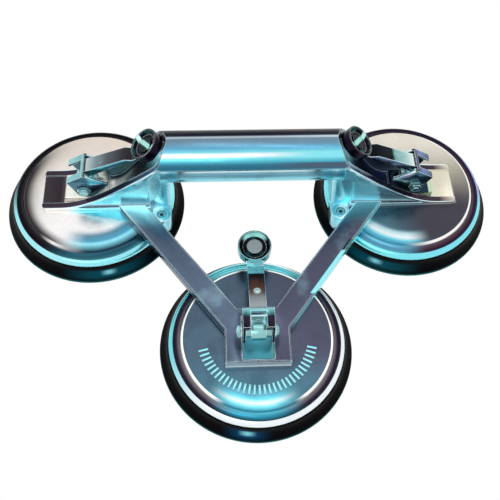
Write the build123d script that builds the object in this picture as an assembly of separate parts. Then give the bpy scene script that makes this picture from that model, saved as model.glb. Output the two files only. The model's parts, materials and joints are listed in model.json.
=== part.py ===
"""Floor tile suction lifter: three rubber cups on cast discs, a tubular handle and a V-plate.

Millimetres. The origin is at the middle of the part's footprint, on the surface that the
pads stand on. +X runs along the handle, +Y from the front cup to the handle, +Z up.
Each cup has a frame of its own: its axis is Z, and U points along its lever.
"""
from build123d import *
import os
from math import atan2, cos, hypot, pi, radians, sin

# Where the cups stand
CUP_HALF_SPREAD = 105.1          # back cups, left and right of the middle
CUP_DEPTH = 107.5                # from the handle's line to the front cup
BACK_Y = CUP_DEPTH / 2
FRONT_Y = -CUP_DEPTH / 2

# Suction pad, soft rubber
PAD_R = 60.0
LIP_WIDTH = 8.0
LIP_EDGE = 1.2                   # height of the lip's outer edge
PAD_TOP = 10.7                   # where the disc's flange sits
CAVITY_DEPTH = 2.0               # hollow between lip and membrane
MEMBRANE = 1.9
CAVITY_SLOPE = 4.0
FLARE_HOLLOW = 0.9               # how far the pad's side curves in

# Cast disc over the pad
DISC_R = 53.8
RIM_WIDTH = 2.6                  # bright rim
RIM_FALL = 1.7                   # from the rim's inner edge to the middle of its round
RIM_BULGE = 0.55
RIM_STEP = 0.7                   # low groove inside the rim
RIM_STEP_WIDTH = 0.4
SHOULDER_WIDTH = 5.0             # between the rim and the flat top
SHOULDER_BEND = 1.6
SHOULDER_FALL = 2.5
FLAT_EDGE = 0.6                  # bevel round the flat top
DISC_RIM_TOP = 15.2
DISC_TOP = 18.0
DISC_WALL = 3.8
DISC_SIDE = 9.8                  # from the disc's edge to its hollow
PAD_COLLAR = 0.7                 # rubber that stands out past the rim
RIB_COUNT = 8
RIB_T = 3.0
RIB_GAP = 0.3

# Raised block on the disc, and the wear plate on it
BLOCK_BACK = 17.0                # from the cup's axis, away from the lever
BLOCK_FRONT = 10.6
BLOCK_HALF_W = 9.2
BLOCK_H = 4.9
WEAR_T = 1.8
WEAR_CHAMFER = 0.6
SLOT_GAP = 0.3                   # round the block, in the saddle and the V-plate

# Stud with its eye, and the foot plate in the pad
STUD_R = 4.5
SLIDE_GAP = 0.05                 # stud in its bore
FOOT_R = 18.0
FOOT_T = 2.2
FOOT_GAP = 0.3                   # foot plate to the pad's pocket
STUD_END_R = 3.4
EYE_HALF_W = 4.2
EYE_R = 5.8
EYE_BELOW = 5.5                  # pin centre to the eye's underside
EYE_SHOULDER = 2.0               # pin centre up to the flat beside the eye
EYE_FRONT = 5.0
EYE_BUTTON_R = 3.3
EYE_BUTTON_H = 2.9

# Cross pin and what is on it
PIN_BACK = 3.0                   # pin centre behind the cup's axis
PIN_R = 2.45
PIN_GAP = 0.05
PIN_HEAD_R = 3.6
PIN_HEAD_T = 2.0
THREAD_R = 1.95
NUT_FLATS = 7.0
NUT_T = 2.2
THREAD_END = 0.8
WASHER_R = 4.2
WASHER_T = 0.7
CHEEK_GAP = 0.3                  # cheek to washer, and cheek to spacer
SPACER_R = 4.0

# Lever, pressed from sheet
SHEET = 1.6
FORK_HALF_W = 9.3
PRONG_INNER = 4.7
STRIP_HALF_W = 5.0
STRIP_TOP = 12.5                 # pin centre to the strip's top face
FORK_TOP = 13.3                  # the fork stands a step above the strip
FORK_END_TOP = 11.5              # and slopes down to the prongs' ends
FORK_BACK = 5.8                  # pin centre to the prongs' ends
FORK_FRONT = 7.2                 # where the strip leaves the fork
CROSSBAR = 2.3
STRIP_END = 36.5
JOGGLE_X = 4.5
FLANGE_ROOT = 4.2
FLANGE_TIP = 1.6
FLANGE_T = 1.2
CHEEK_NOSE_X = 18.4
CHEEK_NOSE_Z = -1.2
CHEEK_NOSE_R = 1.6
DIMPLE_X = 19.0
DIMPLE_R = 2.4
DIMPLE_H = 0.8

# Cam: its radius falls evenly with the lever's turn, so the stud drops evenly
CAM_R = 8.8
CAM_DROP = 3.0
CAM_GAP = 0.45                   # cam to wear plate
PRESSED_ANGLE = -12.4            # lever right down, to the level
OPEN_ANGLE = 90.0                # lever upright
BACK_LEVER_ANGLE = 23.6          # the back levers stop against the tube's ends
CAM_STEPS = 12

# Thumb cup on the lever's end
THUMB_R = 10.4
THUMB_H = 7.0
THUMB_X = 51.9
THUMB_Z = 17.0
THUMB_TILT = 15.0
THUMB_WALL = 1.3
THUMB_DISH = 2.6
THUMB_FLOOR_R = 7.4
THUMB_FLOOR_T = 1.4
RIVET_HEAD_R = 5.0
RIVET_HEAD_T = 1.0
RIVET_R = 2.0
RIVET_TAIL_R = 3.2
RIVET_TAIL_T = 0.9
TAB_REACH = 6.0                  # tab beyond the rivet's centre
NOTCH_GAP = 0.4

# Handle casting
GRIP_R = 15.7
GRIP_Z = 56.0
RIDGE_Z = 59.9                   # the step along the grip's sides
RIDGE_STEP = 0.7
GRIP_LOW_Z = 52.0                # centre of the underside's round
SADDLE_END = 32.3                # outer end of the saddle, from the cup's axis
SADDLE_RIM = 21.2
RIM_LINE = ((-14.0, 21.8), (-3.7, 25.2), (15.0, 36.6), (36.0, 53.0), (45.0, 61.0))
RIM_STEEPEST = 62                # degrees, where the rim meets the grip's top
FLANK_LINE = ((40.5, 54.0), (34.0, 43.0), (22.0, 37.2), (6.0, 28.6))
FLANK_END = -10.0
SADDLE_FLOOR = 20.0
TAIL_HALF_W = 15.2
TAPER_END = 8.0                  # where the saddle reaches its full width
SADDLE_CORNER_R = 2.5
SADDLE_WALL = 4.8
FOOT_FLANGE = 2.6
WEB_HALF_W = 13.6
GRIP_JOIN = 47.0                 # where the saddle's section ends and the grip's begins
GRIP_FROM = 51.3                 # where the well's rim meets the top of the grip
WELL_END = 52.2                  # wall behind the thumb cup, from the cup's axis
WELL_END_Z = 64.5
WELL_LINE = ((27.0, 32.0), (40.0, 49.0))
WELL_SLOPES = ((1, 0.25), (0.7, 0.71))
WELL_FLOOR_END = 13.0
LEG_START = 38.1                 # from the cup's axis
LEG_END = 53.6                   # at the leg's top
LEG_END_LOW = 51.1
LEG_FRONT_TOP = 13.0
LEG_FRONT_LOW = 17.5
LEG_TOP_Z = 50.0
LEG_BACK = 13.0
LEG_CORNER_R = 2.5
BOSS_ALONG_ARM = 12.6            # from the end of the V-plate's arm
BOSS_FROM_ARM = 4.1              # from the arm's edge
BOSS_R = 5.9
BOSS_TOP = 24.6

# V-plate
PLATE_T = 7.0
BASE_HALF_W = 19.6
BASE_FRONT = 19.2                # from the front cup's axis
SHOULDER = 2.3                   # where the arms leave the base, behind the axis
NOTCH_BACK = 16.3
NOTCH_HALF_W = 11.7
ARM_OUTER = 18.5                 # the arm's corners, from the back cup's axis
ARM_INNER = 35.6
PLATE_END_GAP = 0.2
PLATE_CHAMFER = 0.8
SLOT_CORNER_R = 0.6

# Screws
SCREW_R = 2.45
SCREW_HEAD_R = 4.6
SCREW_HEAD_T = 2.2
SCREW_GAP = 0.05
SCREW_REACH = 5.0                # thread above the disc's top
CAP_R = 2.9
CAP_H = 3.2
CAP_RECESS = 0.5
CAP_SOCKET = 2.5
CAP_GAP = 0.3
CAP_THREAD_R = 1.95
CAP_CHAMFER = 0.4
SADDLE_SCREWS = ((27.0, 6.5), (27.0, -6.5))
BASE_SCREWS = ((-11.0, 14.4), (-11.0, -14.4), (7.0, 14.4), (7.0, -14.4))
ARM_SCREW = (31.7, 24.0)         # from the back cup's axis, along and across

# Worked out from the sizes above
DISC_RIM_R = DISC_R - RIM_WIDTH
DISC_FLAT_R = DISC_RIM_R - SHOULDER_WIDTH
DISC_HOLLOW_R = DISC_R - DISC_SIDE
GRIP_TOP = GRIP_Z + GRIP_R
POCKET_R = FOOT_R + FOOT_GAP
POCKET_FLOOR = CAVITY_DEPTH + MEMBRANE
HOLLOW_TOP = DISC_TOP - DISC_WALL
BLOCK_TOP = DISC_TOP + BLOCK_H
WEAR_TOP = BLOCK_TOP + WEAR_T
CAM_SPAN = OPEN_ANGLE - PRESSED_ANGLE
CAM_RATE = CAM_DROP / CAM_SPAN   # millimetres of stud travel for a degree of lever
PIN_Z_PRESSED = WEAR_TOP + CAM_GAP + CAM_R
FOOT_Z_OPEN = POCKET_FLOOR + FOOT_GAP
WELL_HALF_W = GRIP_R - SADDLE_WALL
CHEEK_INNER = FORK_HALF_W - SHEET
PLATE_TOP = DISC_TOP + PLATE_T

CUPS = {
    "left": {"at": (-CUP_HALF_SPREAD, BACK_Y), "turn": 0, "rest": BACK_LEVER_ANGLE},
    "right": {"at": (CUP_HALF_SPREAD, BACK_Y), "turn": 180, "rest": BACK_LEVER_ANGLE},
    "front": {"at": (0, FRONT_Y), "turn": 90, "rest": PRESSED_ANGLE},
}


# Helpers

def rod(radius, low, high, at=(0, 0)):
    """An upright round bar between two heights."""
    return Pos(at[0], at[1], (low + high) / 2) * Cylinder(radius, high - low)


def cross_rod(radius, start, end, x=0, z=0):
    """A round bar along Y, between two places on that axis."""
    return Pos(x, (start + end) / 2, z) * Rot(90, 0, 0) * Cylinder(radius, abs(end - start))


def block(x_range, y_range, z_range):
    """A box given by its ranges."""
    ranges = (x_range, y_range, z_range)
    middle = [sum(pair) / 2 for pair in ranges]
    return Pos(*middle) * Box(*[pair[1] - pair[0] for pair in ranges])


def turned(edges):
    """A closed outline in radius and height, turned about Z."""
    return revolve(make_face([Plane.XZ * edge for edge in edges]), Axis.Z)


def cup_frame(cup):
    """Where a cup's own frame stands in the part's."""
    x, y = CUPS[cup]["at"]
    return Location((x, y, 0), (0, 0, CUPS[cup]["turn"]))


def pin_height(cup):
    """Height of the cross pin at rest: the cam holds it up by its radius there."""
    return PIN_Z_PRESSED - CAM_RATE * (CUPS[cup]["rest"] - PRESSED_ANGLE)


def lever_frame(cup):
    """The lever's frame in the cup's: on the pin, with X along the strip."""
    return Location((-PIN_BACK, 0, pin_height(cup))) * Location((0, 0, 0), (0, -CUPS[cup]["rest"], 0))


# Pad and disc

def make_pad():
    collar_r = DISC_R + PAD_COLLAR
    lip_in = PAD_R - LIP_WIDTH
    flare = ThreePointArc((PAD_R, LIP_EDGE), ((PAD_R + collar_r) / 2 - FLARE_HOLLOW, PAD_TOP / 2),
                          (collar_r, PAD_TOP))
    return turned([
        Polyline((0, POCKET_FLOOR), (0, CAVITY_DEPTH), (lip_in - CAVITY_SLOPE, CAVITY_DEPTH),
                 (lip_in, 0), (PAD_R, 0), (PAD_R, LIP_EDGE)),
        flare,
        Polyline((collar_r, PAD_TOP), (POCKET_R, PAD_TOP), (POCKET_R, POCKET_FLOOR),
                 (0, POCKET_FLOOR)),
    ])


def disc_form():
    """The disc's outer form, without its hollow, block and holes."""
    flat_edge = (DISC_FLAT_R, DISC_TOP - FLAT_EDGE)
    groove = (DISC_RIM_R - RIM_STEP_WIDTH, DISC_RIM_TOP - RIM_STEP)
    rim_edge = (DISC_RIM_R, DISC_RIM_TOP)
    bend = (DISC_FLAT_R + SHOULDER_BEND, DISC_TOP - SHOULDER_FALL)
    return turned([
        Polyline((0, PAD_TOP), (0, DISC_TOP), (DISC_FLAT_R - FLAT_EDGE, DISC_TOP), flat_edge),
        ThreePointArc(flat_edge, bend, groove),
        Line(groove, rim_edge),
        ThreePointArc(rim_edge, (DISC_R - RIM_BULGE, DISC_RIM_TOP - RIM_FALL), (DISC_R, PAD_TOP)),
        Line((DISC_R, PAD_TOP), (0, PAD_TOP)),
    ])


def disc_screws(cup):
    """Where screws come up through a disc, in the cup's own frame."""
    if cup == "front":
        return BASE_SCREWS
    side = -1 if cup == "left" else 1
    return SADDLE_SCREWS + ((ARM_SCREW[0], side * ARM_SCREW[1]),)


def make_disc(cup):
    disc = disc_form()
    hollow = rod(DISC_HOLLOW_R, PAD_TOP, HOLLOW_TOP)
    for k in range(RIB_COUNT):
        rib = block((POCKET_R + RIB_T, DISC_HOLLOW_R), (-RIB_T / 2, RIB_T / 2),
                    (PAD_TOP + RIB_GAP, HOLLOW_TOP))
        hollow -= Rot(0, 0, (k + 0.5) * 360 / RIB_COUNT) * rib
    disc -= hollow
    disc += block((-BLOCK_BACK, BLOCK_FRONT), (-BLOCK_HALF_W, BLOCK_HALF_W), (DISC_TOP, BLOCK_TOP))
    disc -= rod(STUD_R + SLIDE_GAP, PAD_TOP, BLOCK_TOP)
    for at in disc_screws(cup):
        disc -= rod(SCREW_R + SCREW_GAP, PAD_TOP, DISC_TOP, at)
        disc -= screw_head(SCREW_GAP, at)
    if cup != "front":
        side = -1 if cup == "left" else 1
        u, v = boss_place()
        disc -= rod(CAP_THREAD_R + SCREW_GAP, PAD_TOP, DISC_TOP, (u, -side * v))
    return disc


def make_wear_plate():
    plate = block((-BLOCK_BACK, BLOCK_FRONT), (-BLOCK_HALF_W, BLOCK_HALF_W), (BLOCK_TOP, WEAR_TOP))
    plate = chamfer(plate.edges().group_by(Axis.Z)[-1], WEAR_CHAMFER)
    return plate - rod(STUD_R + CAP_GAP, BLOCK_TOP, WEAR_TOP)


# Stud, foot plate, pin and what is on it

def make_eye_stud(cup):
    pin_z = pin_height(cup)
    foot_z = foot_height(cup)
    eye = cross_rod(EYE_R, -EYE_HALF_W, EYE_HALF_W, -PIN_BACK, pin_z)
    eye += block((-PIN_BACK, EYE_FRONT), (-EYE_HALF_W, EYE_HALF_W),
                 (pin_z - EYE_BELOW, pin_z + EYE_SHOULDER))
    eye -= block((-PIN_BACK - EYE_R, EYE_FRONT), (-EYE_HALF_W, EYE_HALF_W),
                 (pin_z - EYE_R - EYE_BELOW, pin_z - EYE_BELOW))
    button = Pos(0, 0, pin_z + EYE_SHOULDER) * Sphere(EYE_BUTTON_R)
    button &= rod(EYE_BUTTON_R, pin_z, pin_z + EYE_SHOULDER + EYE_BUTTON_H)
    stud = eye + button + rod(STUD_R, foot_z + FOOT_T, pin_z - EYE_BELOW)
    stud += rod(STUD_END_R, foot_z, foot_z + FOOT_T)
    return stud - cross_rod(PIN_R + PIN_GAP, -EYE_HALF_W, EYE_HALF_W, -PIN_BACK, pin_z)


def foot_height(cup):
    """Height of the foot plate's underside at rest."""
    return FOOT_Z_OPEN + CAM_RATE * (OPEN_ANGLE - CUPS[cup]["rest"])


def make_foot_plate(cup):
    low = foot_height(cup)
    plate = rod(FOOT_R, low, low + FOOT_T)
    plate = chamfer(plate.edges().group_by(Axis.Z)[-1], FOOT_T / 3)
    return plate - rod(STUD_END_R + SLIDE_GAP, low, low + FOOT_T)


def make_cross_pin(cup):
    seat = FORK_HALF_W + CHEEK_GAP + WASHER_T
    pin_z = pin_height(cup)
    shaft = cross_rod(PIN_R, -seat, seat, -PIN_BACK, pin_z)
    thread = cross_rod(THREAD_R, seat, seat + NUT_T + THREAD_END, -PIN_BACK, pin_z)
    head = cross_rod(PIN_HEAD_R, -seat - PIN_HEAD_T, -seat, -PIN_BACK, pin_z)
    head = fillet(head.edges().group_by(Axis.Y)[0], PIN_HEAD_T * 0.6)
    thread = chamfer(thread.edges().group_by(Axis.Y)[-1], THREAD_END / 2)
    return shaft + thread + head


def make_pin_nut(cup):
    seat = FORK_HALF_W + CHEEK_GAP + WASHER_T
    corner_r = NUT_FLATS / 2 / cos(pi / 6)
    nut = extrude(RegularPolygon(corner_r, 6), NUT_T)
    nut &= chamfer(Cylinder(corner_r, NUT_T, align=(Align.CENTER, Align.CENTER, Align.MIN)).edges()
                   .filter_by(GeomType.CIRCLE), 0.5)
    nut -= Cylinder(THREAD_R + PIN_GAP, NUT_T, align=(Align.CENTER, Align.CENTER, Align.MIN))
    return Pos(-PIN_BACK, seat, pin_height(cup)) * Rot(-90, 0, 0) * nut


def pair_on_pin(cup, radius, near, far):
    """Two equal rings on the pin, one on each side of the cup's axis."""
    pin_z = pin_height(cup)
    rings = []
    for side in (-1, 1):
        ring = cross_rod(radius, side * near, side * far, -PIN_BACK, pin_z)
        rings.append(ring - cross_rod(PIN_R + PIN_GAP, side * near, side * far, -PIN_BACK, pin_z))
    return rings[0] + rings[1]


def make_pin_washers(cup):
    near = FORK_HALF_W + CHEEK_GAP
    return pair_on_pin(cup, WASHER_R, near, near + WASHER_T)


def make_pin_spacers(cup):
    return pair_on_pin(cup, SPACER_R, EYE_HALF_W, CHEEK_INNER - CHEEK_GAP)


# Lever with its cams, in the lever's own frame

def cam_point(direction):
    """A point of the cam's spiral, for a direction in degrees from the strip's line."""
    first = -90 - PRESSED_ANGLE
    radius = CAM_R - CAM_RATE * max(0.0, first - direction)
    return (radius * cos(radians(direction)), radius * sin(radians(direction)))


def make_cheek():
    """One cheek's outline: prong's end, cam spiral, flat to the nose, and up to the fork."""
    first = -90 - PRESSED_ANGLE
    last = -90 - OPEN_ANGLE
    spiral = [cam_point(last + (first - last) * k / CAM_STEPS) for k in range(CAM_STEPS + 1)]
    outline = [
        Spline(*spiral),
        Polyline(spiral[-1], (CHEEK_NOSE_X, CHEEK_NOSE_Z), (FORK_FRONT, FORK_TOP),
                 (-FORK_BACK, FORK_END_TOP), spiral[0]),
    ]
    cheek = extrude(make_face([Plane.XZ * edge for edge in outline]), -SHEET)
    nose = cheek.edges().filter_by(Axis.Y).sort_by(Axis.X)[-1]
    cheek = fillet(nose, CHEEK_NOSE_R)
    return cheek - cross_rod(PIN_R + PIN_GAP, 0, SHEET)


def strip_line():
    """The upper face of the strip and the tab, as points in X and Z."""
    tilt = radians(THUMB_TILT)
    tab_z = -THUMB_DISH - THUMB_FLOOR_T
    rivet_x = THUMB_X - tab_z * sin(tilt)
    rivet_z = THUMB_Z + tab_z * cos(tilt)
    joggle_x = STRIP_END + JOGGLE_X
    near = (rivet_x - joggle_x) / cos(tilt)
    start = (joggle_x, rivet_z - near * sin(tilt))
    end = (rivet_x + TAB_REACH * cos(tilt), rivet_z + TAB_REACH * sin(tilt))
    return start, end


def below_bend(point, before, after):
    """The sheet's lower face at a bend, from the slopes before and after it."""
    reach = SHEET / (1 + cos(after - before))
    return (point[0] + reach * (sin(before) + sin(after)),
            point[1] - reach * (cos(before) + cos(after)))


def make_lever():
    under = STRIP_TOP - SHEET
    plate = Polyline((FORK_FRONT, FORK_TOP), (-FORK_BACK, FORK_END_TOP),
                     (-FORK_BACK, FORK_END_TOP - SHEET), (FORK_FRONT, FORK_TOP - SHEET), close=True)
    lever = extrude(make_face(Plane.XZ * plate), FORK_HALF_W, both=True)
    lever -= block((-FORK_BACK, FORK_FRONT - CROSSBAR), (-PRONG_INNER, PRONG_INNER), (0, FORK_TOP))
    lever += Pos(0, CHEEK_INNER, 0) * make_cheek()
    lever += Pos(0, -FORK_HALF_W, 0) * make_cheek()
    start, end = strip_line()
    tilt = radians(THUMB_TILT)
    drop = atan2(start[1] - STRIP_TOP, start[0] - STRIP_END)
    strip = Polyline((FORK_FRONT - CROSSBAR, STRIP_TOP), (STRIP_END, STRIP_TOP), start, end,
                     below_bend(end, tilt, tilt), below_bend(start, drop, tilt),
                     below_bend((STRIP_END, STRIP_TOP), 0, drop),
                     (FORK_FRONT - CROSSBAR, under), close=True)
    lever += extrude(make_face(Plane.XZ * strip), STRIP_HALF_W, both=True)
    flange = Polyline((FORK_FRONT, under), (STRIP_END, under),
                      (STRIP_END, under - FLANGE_TIP), (FORK_FRONT, under - FLANGE_ROOT), close=True)
    for side in (-1, 1):
        wing = extrude(make_face(Plane.XZ * flange), FLANGE_T / 2, both=True)
        lever += Pos(0, side * (STRIP_HALF_W - FLANGE_T / 2), 0) * wing
    dimple = Pos(DIMPLE_X, 0, STRIP_TOP + DIMPLE_H - DIMPLE_R) * Sphere(DIMPLE_R)
    lever += dimple & rod(DIMPLE_R, under, STRIP_TOP + DIMPLE_H, (DIMPLE_X, 0))
    rivet_hole = thumb_frame() * rod(RIVET_R + SCREW_GAP, -THUMB_H, 0)
    return lever - rivet_hole


def thumb_frame():
    """The thumb cup's frame in the lever's: its face is at Z = 0, its axis leans back."""
    return Location((THUMB_X, 0, THUMB_Z)) * Location((0, 0, 0), (0, -THUMB_TILT, 0))


def make_thumb_cup():
    bead = THUMB_WALL / 2
    floor_low = -THUMB_DISH - THUMB_FLOOR_T
    inner_r = THUMB_R - THUMB_WALL
    rim = ThreePointArc((THUMB_R, -bead), (THUMB_R - bead, 0), (inner_r, -bead))
    cup = turned([
        Polyline((0, -THUMB_DISH), (THUMB_FLOOR_R, -THUMB_DISH), (inner_r, -bead)),
        rim,
        Polyline((THUMB_R, -bead), (THUMB_R, -THUMB_H), (inner_r, -THUMB_H),
                 (inner_r, floor_low), (0, floor_low), (0, -THUMB_DISH)),
    ])
    cup -= rod(RIVET_R + SCREW_GAP, floor_low, -THUMB_DISH)
    mouth = STRIP_HALF_W + NOTCH_GAP
    notch = block((-THUMB_R - 1, -THUMB_R / 2), (-mouth, mouth), (-THUMB_H, floor_low))
    return thumb_frame() * (cup - notch)


def make_thumb_rivet():
    head = Pos(0, 0, -THUMB_DISH + RIVET_HEAD_T / 2) * Cylinder(RIVET_HEAD_R, RIVET_HEAD_T)
    head = fillet(head.edges().group_by(Axis.Z)[-1], RIVET_HEAD_T * 0.6)
    tab_low = -THUMB_DISH - THUMB_FLOOR_T - SHEET
    rivet = head + rod(RIVET_R, tab_low, -THUMB_DISH)
    rivet += rod(RIVET_TAIL_R, tab_low - RIVET_TAIL_T, tab_low)
    return thumb_frame() * rivet


# Handle casting, in the left cup's frame and then mirrored

def rim_curve():
    """The well's rim seen from the side, from the saddle's end up to the grip's top."""
    last = (cos(radians(RIM_STEEPEST)), sin(radians(RIM_STEEPEST)))
    return Spline((-SADDLE_END, SADDLE_RIM), *RIM_LINE, (GRIP_FROM, GRIP_TOP),
                  tangents=((1, 0), last))


def flank_curve():
    """The lower edge of the saddle's outer band, from the ridge down to the tail."""
    return Spline((GRIP_JOIN, RIDGE_Z), *FLANK_LINE,
                  (FLANK_END, DISC_TOP + FOOT_FLANGE + RIDGE_STEP))


def side_slab(curve, half_width, low):
    """What lies under a curve in the side view, down to a height."""
    start = curve @ 0
    end = curve @ 1
    edges = [curve, Polyline((end.X, end.Y), (end.X, low), (start.X, low), (start.X, start.Y))]
    return extrude(make_face([Plane.XZ * edge for edge in edges]), half_width, both=True)


def grip_section():
    """The grip's section: a round top, a step at the ridge, flat sides and a round underside."""
    half = (GRIP_R ** 2 - (RIDGE_Z - GRIP_Z) ** 2) ** 0.5
    low_r = half - RIDGE_STEP
    return make_face([
        ThreePointArc((-half, RIDGE_Z), (0, GRIP_Z + GRIP_R), (half, RIDGE_Z)),
        Polyline((half, RIDGE_Z), (low_r, RIDGE_Z), (low_r, GRIP_LOW_Z)),
        ThreePointArc((low_r, GRIP_LOW_Z), (0, GRIP_LOW_Z - low_r), (-low_r, GRIP_LOW_Z)),
        Polyline((-low_r, GRIP_LOW_Z), (-low_r, RIDGE_Z), (-half, RIDGE_Z)),
    ])


def make_saddle():
    """One end of the handle, in the left cup's frame: half the grip, saddle, well and leg."""
    sides = (-GRIP_R, GRIP_R)
    heights = (DISC_TOP, GRIP_TOP)
    below_rim = side_slab(rim_curve(), GRIP_R, DISC_TOP)
    below_rim += block((GRIP_FROM, CUP_HALF_SPREAD), sides, heights)
    length = GRIP_JOIN + SADDLE_END
    barrel = extrude(Plane.YZ * Pos(0, GRIP_Z) * Circle(GRIP_R), length)
    barrel += block((0, length), sides, (DISC_TOP, GRIP_Z))
    saddle = below_rim & Pos(-SADDLE_END, 0, 0) * barrel & saddle_plan()
    web = block((-SADDLE_END, GRIP_JOIN), (-WEB_HALF_W, WEB_HALF_W), heights)
    saddle -= side_slab(flank_curve(), GRIP_R, DISC_TOP + FOOT_FLANGE) - web
    grip = extrude(Plane.YZ * grip_section(), CUP_HALF_SPREAD)
    saddle += grip & below_rim & block((GRIP_JOIN, CUP_HALF_SPREAD), sides, heights)
    saddle += make_leg()
    saddle -= well()
    saddle -= block((-BLOCK_BACK - SLOT_GAP, BLOCK_FRONT + SLOT_GAP),
                    (-BLOCK_HALF_W - SLOT_GAP, BLOCK_HALF_W + SLOT_GAP), (DISC_TOP, WEAR_TOP))
    for at in SADDLE_SCREWS:
        saddle -= rod(SCREW_R + SCREW_GAP, DISC_TOP, DISC_TOP + SCREW_REACH, at)
    return saddle - disc_form()


def saddle_plan():
    """What lies inside the saddle's outline from above: a narrower tail with round corners."""
    points = [(GRIP_JOIN, GRIP_R), (TAPER_END, GRIP_R), (-SADDLE_END, TAIL_HALF_W)]
    outline = make_face(Polyline(*points, *[(u, -v) for u, v in reversed(points)], close=True))
    outline = fillet(outline.vertices().group_by(Axis.X)[0], SADDLE_CORNER_R)
    return Pos(0, 0, DISC_TOP) * extrude(outline, GRIP_TOP - DISC_TOP)


def well():
    """The open well in which the lever lies: a floor that rises to the grip's end."""
    floor = Spline((WELL_FLOOR_END, SADDLE_FLOOR), *WELL_LINE, (WELL_END, WELL_END_Z),
                   tangents=WELL_SLOPES)
    edges = [floor, Polyline((WELL_END, WELL_END_Z), (WELL_END, GRIP_TOP), (-SADDLE_END, GRIP_TOP),
                             (-SADDLE_END, SADDLE_FLOOR), (WELL_FLOOR_END, SADDLE_FLOOR))]
    trough = extrude(make_face([Plane.XZ * edge for edge in edges]), WELL_HALF_W, both=True)
    at = (WELL_END - WELL_HALF_W, 0)
    room = block((-SADDLE_END, at[0]), (-WELL_HALF_W, WELL_HALF_W), (SADDLE_FLOOR, GRIP_TOP))
    return trough & (room + rod(WELL_HALF_W, SADDLE_FLOOR, GRIP_TOP, at))


def leg_section(u_low, u_high, front, height):
    """The leg cut across: a rectangle with round corners."""
    outline = RectangleRounded(u_high - u_low, LEG_BACK + front, LEG_CORNER_R)
    return Pos((u_low + u_high) / 2, (LEG_BACK - front) / 2, height) * outline


def boss_place():
    """The boss beside the V-plate's arm, in the left cup's frame."""
    arm_end = (-ARM_INNER, BACK_Y - GRIP_R - PLATE_END_GAP)
    along = (CUP_HALF_SPREAD + arm_end[0] - NOTCH_HALF_W, arm_end[1] - FRONT_Y - NOTCH_BACK)
    length = hypot(*along)
    along = (along[0] / length, along[1] / length)
    x = arm_end[0] - along[0] * BOSS_ALONG_ARM - along[1] * BOSS_FROM_ARM
    y = arm_end[1] - along[1] * BOSS_ALONG_ARM + along[0] * BOSS_FROM_ARM
    return (-x, y - BACK_Y)


def make_leg():
    """The leg under the grip's end, with the screw boss at its foot."""
    top = leg_section(LEG_START, LEG_END, LEG_FRONT_TOP, LEG_TOP_Z)
    low = leg_section(LEG_START, LEG_END_LOW, LEG_FRONT_LOW, PAD_TOP)
    leg = loft([low, top])
    at = boss_place()
    leg += rod(BOSS_R, PAD_TOP, BOSS_TOP, at)
    leg += block((at[0] - BOSS_R, at[0] + BOSS_R), (at[1], -LEG_FRONT_TOP),
                 (PAD_TOP, DISC_TOP + FOOT_FLANGE))
    arm_room = offset(plate_face(), PLATE_END_GAP, kind=Kind.INTERSECTION)
    leg -= Pos(CUP_HALF_SPREAD, -BACK_Y, DISC_TOP) * extrude(arm_room, PLATE_T)
    leg -= rod(CAP_R + CAP_GAP, BOSS_TOP - CAP_H - CAP_RECESS, BOSS_TOP, at)
    return leg - rod(CAP_THREAD_R + SCREW_GAP, PAD_TOP, BOSS_TOP, at)


def make_handle():
    left = Pos(-CUP_HALF_SPREAD, BACK_Y, 0) * make_saddle()
    return left + mirror(left, Plane.YZ)


# V-plate

def plate_face():
    """The V-plate's outline, seen from above."""
    front = FRONT_Y - BASE_FRONT
    shoulder = FRONT_Y + SHOULDER
    notch = FRONT_Y + NOTCH_BACK
    end = BACK_Y - GRIP_R - PLATE_END_GAP
    half = [(BASE_HALF_W, front), (BASE_HALF_W, shoulder), (CUP_HALF_SPREAD - ARM_OUTER, end),
            (CUP_HALF_SPREAD - ARM_INNER, end), (NOTCH_HALF_W, notch)]
    outline = half + [(-x, y) for x, y in reversed(half)]
    return make_face(Polyline(*outline, close=True))


def make_v_plate():
    plate = Pos(0, 0, DISC_TOP) * extrude(plate_face(), PLATE_T)
    plate = chamfer(plate.edges().group_by(Axis.Z)[-1], PLATE_CHAMFER)
    slot_w = 2 * (BLOCK_HALF_W + SLOT_GAP)
    slot_l = BLOCK_BACK + BLOCK_FRONT + 2 * SLOT_GAP
    slot = extrude(RectangleRounded(slot_w, slot_l, SLOT_CORNER_R), PLATE_T)
    plate -= Pos(0, FRONT_Y + (BLOCK_FRONT - BLOCK_BACK) / 2, DISC_TOP) * slot
    for x, y in plate_screw_places():
        plate -= rod(SCREW_R + SCREW_GAP, DISC_TOP, DISC_TOP + SCREW_REACH, (x, y))
    return plate


def plate_screw_places():
    """Where screws come up into the V-plate, in the part's frame."""
    base = [(-v, FRONT_Y + u) for u, v in BASE_SCREWS]
    arm_x = CUP_HALF_SPREAD - ARM_SCREW[0]
    arms = [(side * arm_x, BACK_Y - ARM_SCREW[1]) for side in (-1, 1)]
    return base + arms


# Screws

def screw_head(grow, at):
    """The countersunk head's cone, flush with the roof of the disc's hollow."""
    cone = Cone(SCREW_HEAD_R + grow, SCREW_R + grow, SCREW_HEAD_T,
                align=(Align.CENTER, Align.CENTER, Align.MIN))
    return Pos(at[0], at[1], HOLLOW_TOP) * cone


def make_screws(places):
    screws = []
    for at in places:
        screw = screw_head(0, at) + rod(SCREW_R, HOLLOW_TOP, DISC_TOP + SCREW_REACH, at)
        socket = extrude(RegularPolygon(CAP_SOCKET / 2, 6), SCREW_HEAD_T / 2)
        socket = Pos(at[0], at[1], HOLLOW_TOP) * socket
        screws.append(screw - socket)
    return Part() + screws


def make_saddle_screws():
    places = []
    for side in (-1, 1):
        places += [(side * (CUP_HALF_SPREAD - u), BACK_Y + v) for u, v in SADDLE_SCREWS]
    return make_screws(places)


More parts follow.
